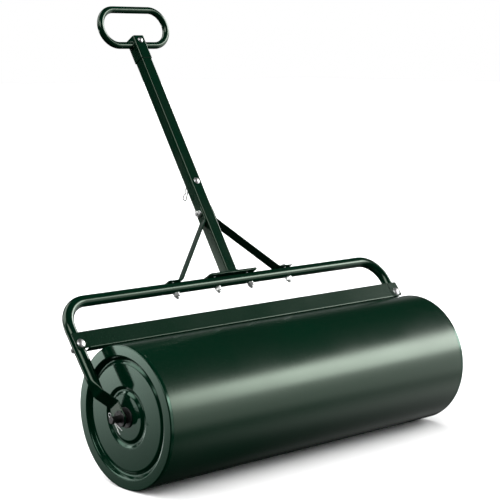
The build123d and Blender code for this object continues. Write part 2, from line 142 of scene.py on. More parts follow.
# A polyline with its corners turned into arcs. radius is one number or one for each point.
def rounded(points, radius, steps=5, closed=False):
    points = [Vector(point) for point in points]
    radii = radius if isinstance(radius, (list, tuple)) else [radius] * len(points)
    out = []
    for i, corner in enumerate(points):
        if not closed and i in (0, len(points) - 1):
            out.append(corner)
            continue
        before = points[i - 1] - corner
        after = points[(i + 1) % len(points)] - corner
        bend = pi - before.angle(after)
        if radii[i] <= 0 or bend < 0.01:
            out.append(corner)
            continue
        reach = min(radii[i] * tan(bend / 2), before.length * 0.49, after.length * 0.49)
        r = reach / tan(bend / 2)
        middle = (before.normalized() + after.normalized()).normalized()
        centre = corner + middle * (r / cos(bend / 2))
        start = corner + before.normalized() * reach - centre
        end = corner + after.normalized() * reach - centre
        for k in range(steps + 1):
            out.append(centre + start.slerp(end, k / steps) * r)
    return out


def squareRing(half, corner, height, steps=6):
    ring = []
    for quarter in range(4):
        cx = (half - corner) * (1 if quarter in (0, 3) else -1)
        cy = (half - corner) * (1 if quarter in (0, 1) else -1)
        for k in range(steps + 1):
            angle = pi / 2 * (quarter + k / steps)
            ring.append(Vector((cx + corner * cos(angle), cy + corner * sin(angle), height)))
    return ring


# A square tube along local z, open at both ends, with its cut edges broken.
def squareTube(size, wall, corner, start, end, lip=0.0004):
    half, inner = size / 2, size / 2 - wall
    innerCorner = max(corner - wall, 0.0008)
    rings = [squareRing(half - lip, corner - lip, start), squareRing(half, corner, start + lip),
             squareRing(half, corner, end - lip), squareRing(half - lip, corner - lip, end),
             squareRing(inner, innerCorner, end), squareRing(inner, innerCorner, start)]
    return skin(rings, loop=True)


# A flat bar that follows a line in the local XZ plane, width along y.
def bentStrip(line, thickness, width, edge=0.0006):
    rings = []
    for i, point in enumerate(line):
        ahead = line[min(i + 1, len(line) - 1)] - line[max(i - 1, 0)]
        ahead.normalize()
        side = Vector((-ahead.z, 0, ahead.x))
        inset = edge if i in (0, len(line) - 1) else 0.0
        a, b = thickness / 2 - inset * 0.6, width / 2 - inset
        outline = [(a - edge, b), (a, b - edge), (a, -b + edge), (a - edge, -b),
                   (-a + edge, -b), (-a, -b + edge), (-a, b - edge), (-a + edge, b)]
        rings.append([point + side * u + Vector((0, v, 0)) for u, v in outline])
    return skin(rings)


# A flat plate with its underside on local z = 0 and its edges broken.
def plateBuild(outline, thickness, edge=0.0005):
    middle = sum(outline, Vector()) / len(outline)
    small = [middle + (p - middle) * (1 - edge / (p - middle).length) for p in outline]
    up = Vector((0, 0, 1))
    rings = [small, [p + up * edge for p in outline],
             [p + up * (thickness - edge) for p in outline], [p + up * thickness for p in small]]
    return skin(rings)


# A geometry tree with named inputs: (name, socket type, default).
def newTree(name, inputs):
    tree = bpy.data.node_groups.new(name, "GeometryNodeTree")
    tree.interface.new_socket("Geometry", in_out="INPUT", socket_type="NodeSocketGeometry")
    for label, kind, value in inputs:
        socket = tree.interface.new_socket(label, in_out="INPUT", socket_type="NodeSocket" + kind)
        if value is not None:
            socket.default_value = value
    tree.interface.new_socket("Geometry", in_out="OUTPUT", socket_type="NodeSocketGeometry")
    return tree, tree.nodes.new("NodeGroupInput"), tree.nodes.new("NodeGroupOutput")


# Sets inputs by name, or by number as at0, to a node's first output, a socket or a plain value.
def setInputs(tree, node, **inputs):
    for key, value in inputs.items():
        socket = node.inputs[int(key[2:])] if key.startswith("at") else node.inputs[key.replace("_", " ")]
        if isinstance(value, bpy.types.Node):
            value = value.outputs[0]
        if isinstance(value, bpy.types.NodeSocket):
            tree.links.new(value, socket)
        else:
            socket.default_value = value


def addNode(tree, kind, settings=None, **inputs):
    made = tree.nodes.new(kind)
    for key, value in (settings or {}).items():
        setattr(made, key, value)
    setInputs(tree, made, **inputs)
    return made


# A math node; gives its output.
def calc(tree, operation, *values, clamp=False):
    inputs = {"at" + str(i): value for i, value in enumerate(values)}
    return addNode(tree, "ShaderNodeMath", {"operation": operation, "use_clamp": clamp}, **inputs).outputs[0]


# Runs a tree on an object once and returns the result as a plain mesh.
def runTree(source, tree, values):
    modifier = source.modifiers.new(tree.name, "NODES")
    modifier.node_group = tree
    for item in tree.interface.items_tree:
        if item.item_type == "SOCKET" and item.in_out == "INPUT" and item.name in values:
            modifier[item.identifier] = values[item.name]
    bpy.context.view_layer.update()
    evaluated = source.evaluated_get(bpy.context.evaluated_depsgraph_get())
    mesh = bpy.data.meshes.new_from_object(evaluated)
    source.modifiers.remove(modifier)
    bpy.data.objects.remove(source)
    return mesh


# A bare line of edges, for a tree to sweep or place things along.
def pathObject(name, points, closed=False):
    mesh = bpy.data.meshes.new(name)
    edges = [(i, i + 1) for i in range(len(points) - 1)]
    if closed:
        edges.append((len(points) - 1, 0))
    mesh.from_pydata([tuple(p) for p in points], edges, [])
    return linked(name, mesh)


def endTree(tree, made, start, end):
    real = addNode(tree, "GeometryNodeRealizeInstances", Geometry=made)
    painted = addNode(tree, "GeometryNodeSetMaterial", Geometry=real, Material=start.outputs["Material"])
    setInputs(tree, end, at0=painted)
    return tree


# Sweeps a round section along a line.
def sweepTree():
    tree, start, end = newTree("sweepRound", [
        ("Radius", "Float", 0.005), ("Sides", "Int", 24), ("Material", "Material", None)])
    curve = addNode(tree, "GeometryNodeMeshToCurve", Mesh=start.outputs["Geometry"])
    circle = addNode(tree, "GeometryNodeCurvePrimitiveCircle",
                     Resolution=start.outputs["Sides"], Radius=start.outputs["Radius"])
    swept = addNode(tree, "GeometryNodeCurveToMesh", Curve=curve,
                    Profile_Curve=circle.outputs["Curve"], Fill_Caps=True)
    return endTree(tree, swept, start, end)


# A rippled weld bead along a line: the section swells at every pitch, a little unevenly.
def weldTree():
    tree, start, end = newTree("weldBead", [
        ("Radius", "Float", 0.002), ("Pitch", "Float", 0.0016), ("Ripple", "Float", 0.14),
        ("Unevenness", "Float", 0.12), ("Seed", "Int", 3), ("Material", "Material", None)])
    curve = addNode(tree, "GeometryNodeMeshToCurve", Mesh=start.outputs["Geometry"])
    finer = calc(tree, "DIVIDE", start.outputs["Pitch"], 6.0)
    dense = addNode(tree, "GeometryNodeResampleCurve", {"mode": "LENGTH"},
                    Curve=curve, Length=finer)
    along = addNode(tree, "GeometryNodeSplineParameter")
    turns = calc(tree, "DIVIDE", along.outputs["Length"], start.outputs["Pitch"])
    phase = calc(tree, "MULTIPLY", turns, 2 * pi)
    wave = calc(tree, "SINE", phase)
    rise = calc(tree, "MULTIPLY", wave, start.outputs["Ripple"])
    drift = addNode(tree, "ShaderNodeTexNoise", {"noise_dimensions": "4D"},
                    W=start.outputs["Seed"], Scale=180.0)
    centred = calc(tree, "SUBTRACT", drift, 0.5)
    spread = calc(tree, "MULTIPLY", centred, start.outputs["Unevenness"])
    total = calc(tree, "ADD", rise, spread)
    factor = calc(tree, "ADD", total, 1.0)
    sized = addNode(tree, "GeometryNodeSetCurveRadius", Curve=dense, Radius=factor)
    circle = addNode(tree, "GeometryNodeCurvePrimitiveCircle", Resolution=10, Radius=start.outputs["Radius"])
    swept = addNode(tree, "GeometryNodeCurveToMesh", Curve=sized,
                    Profile_Curve=circle.outputs["Curve"], Fill_Caps=True)
    if "Scale" in swept.inputs:
        tree.links.new(factor, swept.inputs["Scale"])
    return endTree(tree, swept, start, end)


# Puts one fastener on every vertex, turned to the vertex's normal, each at its own angle.
def fastenerTree():
    tree, start, end = newTree("fasteners", [
        ("Fastener", "Object", None), ("Seed", "Int", 1), ("Material", "Material", None)])
    info = addNode(tree, "GeometryNodeObjectInfo", Object=start.outputs["Fastener"])
    direction = addNode(tree, "GeometryNodeInputNamedAttribute", {"data_type": "FLOAT_VECTOR"},
                        Name="direction")
    aligned = addNode(tree, "FunctionNodeAlignRotationToVector", {"axis": "Z"},
                      Vector=direction.outputs["Attribute"])
    anyTurn = addNode(tree, "FunctionNodeRandomValue", {"data_type": "FLOAT"}, Seed=start.outputs["Seed"])
    anyTurn.inputs[3].default_value = 2 * pi
    spin = addNode(tree, "FunctionNodeAxisAngleToRotation", Axis=(0, 0, 1), Angle=anyTurn.outputs[1])
    both = addNode(tree, "FunctionNodeRotateRotation", {"rotation_space": "LOCAL"},
                   Rotation=aligned, Rotate_By=spin)
    placed = addNode(tree, "GeometryNodeInstanceOnPoints", Points=start.outputs["Geometry"],
                     Instance=info.outputs["Geometry"], Rotation=both)
    return endTree(tree, placed, start, end)


sweepRound = sweepTree()
weldBead = weldTree()
fasteners = fastenerTree()
print("geometry trees ready")


def newShaderGroup(name, inputs, outputs):
    group = bpy.data.node_groups.new(name, "ShaderNodeTree")
    for label, value in inputs:
        socket = group.interface.new_socket(label, in_out="INPUT", socket_type="NodeSocketFloat")
        socket.default_value = value
    for label, kind in outputs:
        group.interface.new_socket(label, in_out="OUTPUT", socket_type="NodeSocket" + kind)
    return group, group.nodes.new("NodeGroupInput"), group.nodes.new("NodeGroupOutput")


# Mask of 0 to 1 that shows where an outside edge would be rubbed.
def edgeWearGroup():
    group, start, end = newShaderGroup("edgeWear", [
        ("Edge Width", 0.0012), ("Sharpness", 6.0), ("Patch Scale", 60.0), ("Cover", 0.5)],
        [("Mask", "Float")])
    soft = addNode(group, "ShaderNodeBevel", {"samples": 4}, Radius=start.outputs["Edge Width"])
    plain = addNode(group, "ShaderNodeNewGeometry")
    match = addNode(group, "ShaderNodeVectorMath", {"operation": "DOT_PRODUCT"},
                    at0=soft, at1=plain.outputs["Normal"])
    away = calc(group, "SUBTRACT", 1.0, match.outputs["Value"])
    edge = calc(group, "MULTIPLY", away, start.outputs["Sharpness"], clamp=True)
    place = addNode(group, "ShaderNodeTexCoord")
    patches = addNode(group, "ShaderNodeTexNoise", Vector=place.outputs["Object"],
                      Scale=start.outputs["Patch Scale"], Detail=4.0)
    over = calc(group, "SUBTRACT", patches, start.outputs["Cover"])
    crisp = calc(group, "MULTIPLY", over, 8.0, clamp=True)
    mask = calc(group, "MULTIPLY", edge, crisp, clamp=True)
    setInputs(group, end, Mask=mask)
    return group


# Fine orange-peel or casting grain, with a slow drift for roughness and tone.
def surfaceGrainGroup():
    group, start, end = newShaderGroup("surfaceGrain", [
        ("Grain Scale", 700.0), ("Wave Scale", 12.0), ("Wave Share", 0.3)],
        [("Height", "Float"), ("Drift", "Float")])
    place = addNode(group, "ShaderNodeTexCoord")
    fine = addNode(group, "ShaderNodeTexNoise", Vector=place.outputs["Object"],
                   Scale=start.outputs["Grain Scale"], Detail=2.0, Roughness=0.45)
    slow = addNode(group, "ShaderNodeTexNoise", Vector=place.outputs["Object"],
                   Scale=start.outputs["Wave Scale"], Detail=3.0)
    share = calc(group, "MULTIPLY", slow, start.outputs["Wave Share"])
    height = calc(group, "ADD", fine, share)
    setInputs(group, end, Height=height, Drift=slow)
    return group


# Mask of dust that settles on upward faces and in a thin scatter of specks.
def dustGroup():
    group, start, end = newShaderGroup("dust", [("Speck Scale", 420.0), ("Amount", 0.2)], [("Mask", "Float")])
    place = addNode(group, "ShaderNodeTexCoord")
    plain = addNode(group, "ShaderNodeNewGeometry")
    parts = addNode(group, "ShaderNodeSeparateXYZ", Vector=plain.outputs["Normal"])
    upward = addNode(group, "ShaderNodeMapRange", Value=parts.outputs["Z"], From_Min=0.1)
    specks = addNode(group, "ShaderNodeTexNoise", Vector=place.outputs["Object"],
                     Scale=start.outputs["Speck Scale"], Detail=2.0)
    rare = addNode(group, "ShaderNodeMapRange", Value=specks, From_Min=0.55, From_Max=0.8)
    both = calc(group, "MULTIPLY", upward, rare)
    mask = calc(group, "MULTIPLY", both, start.outputs["Amount"], clamp=True)
    setInputs(group, end, Mask=mask)
    return group


edgeWear = edgeWearGroup()
surfaceGrain = surfaceGrainGroup()
dust = dustGroup()


def placeGroup(tree, group, **values):
    return addNode(tree, "ShaderNodeGroup", {"node_tree": group}, **values)


# Mixes two colours.
def mixColour(tree, factor, first, second):
    return addNode(tree, "ShaderNodeMix", {"data_type": "RGBA"}, at0=factor, at6=first, at7=second).outputs[2]


# Spreads the middle of a noise's range over low to high.
def mapped(tree, source, low=0.0, high=1.0):
    return addNode(tree, "ShaderNodeMapRange", Value=source, From_Min=0.3, From_Max=0.7,
                   To_Min=low, To_Max=high).outputs[0]


def bump(tree, height, strength, distance):
    return addNode(tree, "ShaderNodeBump", Height=height, Strength=strength, Distance=distance).outputs[0]


def newMaterial(name):
    material = bpy.data.materials.new(name)
    material.use_nodes = True
    return material, material.node_tree, material.node_tree.nodes["Principled BSDF"]


def colour(r, g, b):
    return (r, g, b, 1.0)


enamel = {
    "green": colour(0.0003, 0.0225, 0.0098), "deepGreen": colour(0.0002, 0.0185, 0.0080),
    # The cap tint makes the caps' reflections greener than the shell's: painted light, standing in for diffuse
    # light falling on the end caps.
    "sheenTint": colour(0.80, 1.0, 0.80), "capPaintedLightTint": colour(0.58, 1.0, 0.76),
    "rubbed": colour(0.02, 0.07, 0.045), "peelScale": 520.0, "peelDepth": 0.00002, "peelStrength": 0.07,
}


# Gloss green enamel over steel: orange peel, slow waves in the sheet, edges rubbed a little
# lighter.
def enamelMaterial(name, waveScale, waveShare, edgeWidth, low, high, tint):
    material, tree, shader = newMaterial(name)
    grain = placeGroup(tree, surfaceGrain, Grain_Scale=enamel["peelScale"],
                       Wave_Scale=waveScale, Wave_Share=waveShare)
    wear = placeGroup(tree, edgeWear, Edge_Width=edgeWidth, Sharpness=3.0, Patch_Scale=45.0, Cover=0.42)
    settled = placeGroup(tree, dust, Speck_Scale=520.0, Amount=0.10)
    drift = mapped(tree, grain.outputs["Drift"])
    tone = mixColour(tree, drift, enamel["green"], enamel["deepGreen"])
    worn = mixColour(tree, wear.outputs["Mask"], tone, enamel["rubbed"])
    dusty = mixColour(tree, settled.outputs["Mask"], worn, colour(0.22, 0.23, 0.2))
    setInputs(tree, shader, Base_Color=dusty, Roughness=mapped(tree, grain.outputs["Drift"], low, high),
              Normal=bump(tree, grain.outputs["Height"], enamel["peelStrength"], enamel["peelDepth"]),
              IOR=1.5, Specular_Tint=tint)
    return material


zinc = {"bright": colour(0.86, 0.86, 0.84), "dull": colour(0.62, 0.63, 0.64),
        "aged": colour(0.10, 0.10, 0.10), "agedDull": colour(0.05, 0.05, 0.05),
        "spring": colour(0.014, 0.014, 0.014), "springDull": colour(0.007, 0.007, 0.007),
        "roughness": (0.34, 0.50)}


# Bright zinc plate: spangled tone, fine drawn grain, duller at worn edges.
def zincMaterial(name, bright, dull):
    material, tree, shader = newMaterial(name)
    grain = placeGroup(tree, surfaceGrain, Grain_Scale=1400.0, Wave_Scale=160.0, Wave_Share=0.6)
    wear = placeGroup(tree, edgeWear, Edge_Width=0.0005, Sharpness=4.0, Patch_Scale=220.0, Cover=0.45)
    tone = mixColour(tree, mapped(tree, grain.outputs["Drift"]), bright, dull)
    setInputs(tree, shader, Base_Color=mixColour(tree, wear.outputs["Mask"], tone, bright),
              Roughness=mapped(tree, grain.outputs["Drift"], *zinc["roughness"]),
              Normal=bump(tree, grain.outputs["Height"], 0.25, 0.00003), Metallic=1.0)
    return material


# Drawn steel bar: lathe lines round it and a thin brown-grey film.
def steelMaterial():
    material, tree, shader = newMaterial("drawnSteel")
    place = addNode(tree, "ShaderNodeTexCoord")
    stretch = addNode(tree, "ShaderNodeMapping", Vector=place.outputs["Object"], Scale=(2600.0, 60.0, 60.0))
    lines = addNode(tree, "ShaderNodeTexNoise", Vector=stretch, Scale=1.0, Detail=3.0)
    grain = placeGroup(tree, surfaceGrain, Grain_Scale=900.0, Wave_Scale=70.0, Wave_Share=0.5)
    tone = mixColour(tree, mapped(tree, grain.outputs["Drift"]),
                     colour(0.10, 0.10, 0.10), colour(0.045, 0.042, 0.04))
    setInputs(tree, shader, Base_Color=tone, Roughness=mapped(tree, lines, 0.3, 0.5),
              Normal=bump(tree, lines, 0.3, 0.00003), Metallic=0.85)
    return material


# Moulded plastic or rubber with a fine texture and slightly uneven tone.
def mouldedMaterial(name, first, second, roughness, grainScale, depth):
    material, tree, shader = newMaterial(name)
    grain = placeGroup(tree, surfaceGrain, Grain_Scale=grainScale, Wave_Scale=45.0, Wave_Share=0.2)
    wear = placeGroup(tree, edgeWear, Edge_Width=0.0008, Sharpness=4.0, Patch_Scale=120.0, Cover=0.45)
    settled = placeGroup(tree, dust, Speck_Scale=600.0, Amount=0.15)
    tone = mixColour(tree, mapped(tree, grain.outputs["Drift"]), first, second)
    lighter = tuple(min(1.0, c * 1.6 + 0.01) for c in first[:3]) + (1.0,)
    worn = mixColour(tree, wear.outputs["Mask"], tone, lighter)
    setInputs(tree, shader, Base_Color=mixColour(tree, settled.outputs["Mask"], worn, colour(0.3, 0.3, 0.28)),
              Roughness=mapped(tree, grain.outputs["Drift"], roughness * 0.85, roughness * 1.15),
              Normal=bump(tree, grain.outputs["Height"], 0.4, depth))
    return material


sheetEnamel = enamelMaterial("greenEnamelSheet", 5.0, 0.8, 0.0012, 0.20, 0.26, enamel["sheenTint"])
# The caps get a copy of the enamel whose greener reflection tint is painted light for the diffuse light on them.
capEnamel = enamelMaterial("greenEnamelCap", 7.0, 0.5, 0.0010, 0.09, 0.13, enamel["capPaintedLightTint"])
tubeEnamel = enamelMaterial("greenEnamelTube", 16.0, 0.35, 0.0009, 0.12, 0.17, enamel["sheenTint"])
zincPlate = zincMaterial("zincPlate", zinc["bright"], zinc["dull"])
agedZinc = zincMaterial("agedZinc", zinc["aged"], zinc["agedDull"])
springZinc = zincMaterial("springZinc", zinc["spring"], zinc["springDull"])
drawnSteel = steelMaterial()
nylon = mouldedMaterial("blackNylon", colour(0.016, 0.016, 0.016), colour(0.010, 0.010, 0.010), 0.45, 900.0,
                        0.00003)
blackPlastic = mouldedMaterial("blackPlastic", colour(0.02, 0.02, 0.021), colour(0.012, 0.012, 0.013), 0.42,
                               1100.0, 0.00004)
sealRubber = mouldedMaterial("sealRubber", colour(0.013, 0.013, 0.013), colour(0.02, 0.02, 0.019), 0.7,
                             700.0, 0.00005)
print("materials ready")


# Links a finished mesh, gives it its material and body, and hides the CAD nodes it stands for.
def addPiece(name, mesh, material, body, slotName, *replaced):
    made = linked(name, mesh)
    if material is not None:
        mesh.materials.clear()
        mesh.materials.append(material)
    even = made.modifiers.new("evenShading", "WEIGHTED_NORMAL")    # flat faces keep their own normal
    even.keep_sharp = True
    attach(made, body)
    if replaced:
        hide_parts(*replaced)
    return made


# Finishes a bmesh at its place and adds it as a piece.
def addBuilt(name, build, place, *details, sharp=32.0):
    return addPiece(name, finishMesh(name, build, place, sharp), *details)


# Drum shell: rolled sheet with a flattened longitudinal weld at the back
shell = {"wall": 0.0016, "endInset": 0.008, "edge": 0.0008, "steps": 288,
         "seamAngle": 205.0, "seamWidth": 0.007, "seamHeight": 0.0005}


def buildDrumShell():
    reach = drumEnd - shell["endInset"]
    inner = drumRadius - shell["wall"]
    e = shell["edge"]
    outside = [(drumRadius - e, -reach), (drumRadius - e * 0.3, -reach + e * 0.3), (drumRadius, -reach + e)]
    outside += [(drumRadius, -reach + e + (2 * reach - 2 * e) * k / 24) for k in range(1, 24)]
    outside += [(drumRadius, reach - e), (drumRadius - e * 0.3, reach - e * 0.3), (drumRadius - e, reach)]
    profile = outside + [(inner, reach), (inner, -reach)]
    build = lathe(profile, shell["steps"], loop=True)
    seam = radians(shell["seamAngle"])
    for vert in build.verts:
        radius = sqrt(vert.co.x ** 2 + vert.co.y ** 2)
        if radius > drumRadius - 1e-5:
            off = (atan2(vert.co.y, vert.co.x) - seam + pi) % (2 * pi) - pi
            across = abs(off) * drumRadius / shell["seamWidth"]
            if across < 1:
                lift = shell["seamHeight"] * (1 - across ** 2) ** 2
                vert.co.x *= 1 + lift / radius
                vert.co.y *= 1 + lift / radius
    addBuilt("drumShell", build, rightEnd, sheetEnamel, "drum", "drum_paint", "drum_shell")


# End caps: pressed sheet, an outer band level with the rim, and two ring grooves
cap = {"wall": 0.0016, "faceSink": 0.006, "skirt": 0.022, "groove": 0.0044, "grooves": (0.121, 0.057),
       "grooveWidth": 0.0155, "grooveFloor": 0.004, "rimRadius": 0.0022, "pressRadius": 0.0045,
       "floorRadius": 0.0035, "hubHole": 0.01305, "skirtGap": 0.0002, "backSpread": 0.4, "steps": 256}


def capProfile():
    face = drumEnd - cap["faceSink"]
    floor = face - cap["groove"]
    front = [(drumRadius, drumEnd - shell["endInset"]), (drumRadius, drumEnd)]
    radii = [0, cap["rimRadius"]]
    for middle in cap["grooves"]:
        w, f = cap["grooveWidth"] / 2, cap["grooveFloor"] / 2
        outer = drumEnd if middle == cap["grooves"][0] else face
        front += [(middle + w, outer), (middle + f, floor), (middle - f, floor), (middle - w, face)]
        radii += [cap["pressRadius"], cap["floorRadius"], cap["floorRadius"], cap["pressRadius"]]
    front.append((cap["hubHole"], face))
    radii.append(0)
    line = rounded([Vector((r, 0, h)) for r, h in front], radii, steps=7)
    outline = [(p.x, p.z) for p in line]
    back = face - cap["wall"]
    inside = drumRadius - shell["wall"]
    outline.append((cap["hubHole"], back))
    spread = cap["wall"] * cap["backSpread"]
    for middle in cap["grooves"][::-1]:
        w, f = cap["grooveWidth"] / 2 + spread, cap["grooveFloor"] / 2 + spread
        outline += [(middle - w, back), (middle - f, floor - cap["wall"]),
                    (middle + f, floor - cap["wall"]), (middle + w, back)]
    seat = inside - cap["skirtGap"]
    outline += [(inside - cap["wall"], back), (inside - cap["wall"], drumEnd - cap["skirt"]),
                (seat, drumEnd - cap["skirt"]), (seat, drumEnd - shell["endInset"])]
    return outline


def buildEndCaps():
    for name, place, node in (("endCapLeft", leftEnd, "drum_end_cap_left"),
                              ("endCapRight", rightEnd, "drum_end_cap_right")):
        addBuilt(name, lathe(capProfile(), cap["steps"], loop=True), place, capEnamel, "drum", "drum_paint",
                 node, sharp=40)


# Frame tube: one round tube whose ends are flattened, stepped inwards and rounded off
frameTube = {"armOut": 0.0346, "cornerRadius": 0.062, "lugX": 0.0083, "lugHalf": 0.018, "flatHalf": 0.002,
             "lugLength": 0.033, "joggle": 0.030, "crimp": 0.034, "lugBend": 0.007, "armBend": 0.009,
             "fineStep": 0.003, "coarseStep": 0.004, "longRun": 0.1, "sides": 48}


# Flat-sided section: thin along side, wide along y. Equal values make a circle.
def stadiumRing(point, side, thin, wide, sides):
    ring = []
    for i in range(sides):
        angle = 2 * pi * (i + 0.5) / sides
        straight = (wide - thin) * (1 if sin(angle) > 0 else -1)
        ring.append(point + side * (thin * cos(angle)) + Vector((0, straight + thin * sin(angle), 0)))
    return ring


def buildFrameTube():
    t = frameTube
    armX = drumEnd + t["armOut"]
    lugX = drumEnd + t["lugX"]
    flatTop = t["lugLength"] + t["joggle"]
    corners = [(lugX, 0, -t["lugHalf"]), (lugX, 0, t["lugLength"]), (armX, 0, flatTop),
               (armX, 0, frameHeight), (-armX, 0, frameHeight), (-armX, 0, flatTop),
               (-lugX, 0, t["lugLength"]), (-lugX, 0, -t["lugHalf"])]
    bends = [t["lugBend"], t["armBend"], t["cornerRadius"]]
    radii = [0] + bends + bends[::-1] + [0]
    line = rounded(corners, radii, steps=12)
    dense = []
    for a, b in zip(line, line[1:]):
        length = (b - a).length
        pieces = max(1, int(length / t["fineStep"])) if min(a.z, b.z) < flatTop + t["crimp"] else 1
        if length > t["longRun"] and pieces > 1:
            pieces = int(length / t["coarseStep"])
        dense += [a.lerp(b, k / pieces) for k in range(pieces)]
    dense.append(line[-1])
    rings = []
    for i, point in enumerate(dense):
        ahead = (dense[min(i + 1, len(dense) - 1)] - dense[max(i - 1, 0)]).normalized()
        side = Vector((ahead.z, 0, -ahead.x))
        share = min(max((point.z - flatTop) / t["crimp"], 0.0), 1.0)
        share = share * share * (3 - 2 * share)
        thin = t["flatHalf"] + (tubeRadius - t["flatHalf"]) * share
        wide = t["lugHalf"] + (tubeRadius - t["lugHalf"]) * share
        if point.z < 0:
            wide = max(sqrt(max(t["lugHalf"] ** 2 - point.z ** 2, 0.0)), thin * 1.001)
        rings.append(stadiumRing(point, side, thin, wide, t["sides"]))
    addBuilt("frameTube", skin(rings), frameAt, tubeEnamel, "frame", "frame_paint", "frame_tube", sharp=50)


# Scraper blade: sheet with its lower edge folded back under the arms
scraper = {"thickness": 0.002, "foldRadius": 0.003, "flange": 0.016, "height": 0.040, "overArm": 0.0142,
           "flangeInset": 0.0157, "cornerRadius": 0.004, "bottom": 0.16233, "boltDrop": 0.026, "edge": 0.0004,
           "innerFold": 0.0012, "earOverlap": 0.004, "earCorner": 0.0001}


def buildScraper():
    s = scraper
    end = drumEnd + frameTube["armOut"] + s["overArm"]
    flangeEnd = drumEnd + frameTube["armOut"] - s["flangeInset"]
    front = -tubeRadius - s["thickness"]
    top = s["bottom"] + s["height"]
    e = s["edge"]

    def section(x, inset):
        outer = [Vector((x, front + s["flange"] - inset, s["bottom"] + inset)),
                 Vector((x, front + inset, s["bottom"] + inset)), Vector((x, front + inset, top - inset))]
        inner = [Vector((x, front + s["thickness"] - inset, top - inset)),
                 Vector((x, front + s["thickness"] - inset, s["bottom"] + s["thickness"] - inset)),
                 Vector((x, front + s["flange"] - inset, s["bottom"] + s["thickness"] - inset))]
        return rounded(outer, [0, s["foldRadius"], 0], 6) + rounded(inner, [0, s["innerFold"], 0], 3)

    folded = skin([section(x, i) for x, i in ((-flangeEnd, e), (-flangeEnd + e, 0), (flangeEnd - e, 0),
                                             (flangeEnd, e))])
    addBuilt("scraperBlade", folded, frameAt, sheetEnamel, "frame", "frame_paint", "scraper_blade")
    for side, name in ((-1, "scraperEarLeft"), (1, "scraperEarRight")):
        inner = side * (flangeEnd - s["earOverlap"])
        outer = side * end
        low = s["bottom"] + s["innerFold"]
        corners = [Vector((inner, low, 0)), Vector((outer, low, 0)), Vector((outer, top, 0)),
                   Vector((inner, top, 0))]
        bends = [s["earCorner"], s["cornerRadius"], s["cornerRadius"], s["earCorner"]]
        outline = rounded(corners, bends, 5, closed=True)
        stand = frameAt @ shift(0, front + s["thickness"], 0) @ turn(90, "X")
        addBuilt(name, plateBuild(outline, s["thickness"]), stand, sheetEnamel, "frame", "frame_paint")


# Drawbar: mounting plate, lower tube, inner spigot, upper tube and sleeve
bar = {"size": 0.030, "wall": 0.002, "corner": 0.0035, "slip": 0.0002, "joint": 0.190, "top": 0.661,
       "spigotBelow": 0.075, "spigotAbove": 0.100, "plateLength": 0.148, "plateWidth": 0.040,
       "plateThickness": 0.004, "plateCorner": 0.006, "plateBolt": 0.051, "spigotCorner": 0.003}
sleeve = {"size": 0.034, "wall": 0.00185, "corner": 0.0052, "length": 0.063, "proud": 0.0023,
          "boltDrop": 0.0135}
sleeveTop = bar["top"] + sleeve["proud"]


def buildDrawbar():
    b = bar
    halfX, halfY = b["plateLength"] / 2, b["plateWidth"] / 2
    outline = rounded([Vector((-halfX, -halfY, 0)), Vector((halfX, -halfY, 0)), Vector((halfX, halfY, 0)),
                       Vector((-halfX, halfY, 0))], b["plateCorner"], 6, closed=True)
    addBuilt("drawbarPlate", plateBuild(outline, b["plateThickness"]), handleAt @ shift(z=tubeRadius),
             tubeEnamel, "frame", "frame_paint", "drawbar_plate")
    bottom = tubeRadius + b["plateThickness"]
    spigot = b["size"] - 2 * b["wall"] - 2 * b["slip"]
    pieces = (
        ("drawbarTube", b["size"], b["wall"], b["corner"], bottom, b["joint"] - b["slip"], "drawbar_tube"),
        ("drawbarSpigot", spigot, b["wall"], b["spigotCorner"], b["joint"] - b["spigotBelow"],
         b["joint"] + b["spigotAbove"], "drawbar_spigot"),
        ("handleTube", b["size"], b["wall"], b["corner"], b["joint"], b["top"], "handle_tube"),
        ("gripSleeve", sleeve["size"], sleeve["wall"], sleeve["corner"], sleeveTop - sleeve["length"],
         sleeveTop, "grip_sleeve"),
    )
    for name, size, wall, corner, start, end, node in pieces:
        addBuilt(name, squareTube(size, wall, corner, start, end), handleAt, tubeEnamel, "frame",
                 "frame_paint", node)


# Braces: flat bar bolted to the drawbar's sides and bent flat onto the cross tube
brace = {"width": 0.025, "thickness": 0.003, "bendDrop": 0.034, "footStart": 0.152, "footLength": 0.042,
         "bendRadius": 0.007, "boltDrop": 0.013, "footBolt": 0.024}


def buildBraces():
    sideX = bar["size"] / 2 + brace["thickness"] / 2
    footZ = tubeRadius + brace["thickness"] / 2
    for side, name, node in ((-1, "braceLeft", "brace_left"), (1, "braceRight", "brace_right")):
        corners = [(side * sideX, 0, bar["joint"]), (side * sideX, 0, bar["joint"] - brace["bendDrop"]),
                   (side * brace["footStart"], 0, footZ),
                   (side * (brace["footStart"] + brace["footLength"]), 0, footZ)]
        line = rounded(corners, brace["bendRadius"], 7)
        addBuilt(name, bentStrip(line, brace["thickness"], brace["width"]), handleAt, tubeEnamel, "frame",
                 "frame_paint", node)


# Grip: a bent tube that ends on the sides of the sleeve
grip = {"drop": 0.019, "straight": 0.110, "sink": 0.0004, "skin": 0.00004, "arcSteps": 28, "sides": 40}


def buildGrip():
    foot = handleAt @ Vector((0, 0, sleeveTop - grip["drop"]))
    rise = gripPoint - foot
    radius = rise.length / 2
    gripAt = leaned(foot, atan2(rise.y, rise.z))
    half = grip["straight"] / 2
    start = sleeve["size"] / 2 - grip["sink"]
    path = [Vector((-start, 0, 0))]
    for side in (-1, 1):
        for k in range(grip["arcSteps"] + 1):
            angle = pi * k / grip["arcSteps"]
            height = radius * (1 + side * cos(angle))
            path.append(Vector((side * (half + radius * sin(angle)), 0, height)))
    path.append(Vector((start, 0, 0)))
    sweptPiece("gripLoop", [gripAt @ p for p in path], gripTubeRadius - grip["skin"], grip["sides"],
               tubeEnamel, 40, "frame", "frame_paint", "grip_loop")
    return gripAt


# Weld beads, painted over with the frame
weld = {"radius": 0.0022, "gripRadius": 0.0019, "pitch": 0.0021, "ripple": 0.13, "unevenness": 0.35,
        "barLift": 0.0006, "sleeveLift": 0.0003, "gripLift": 0.0004}


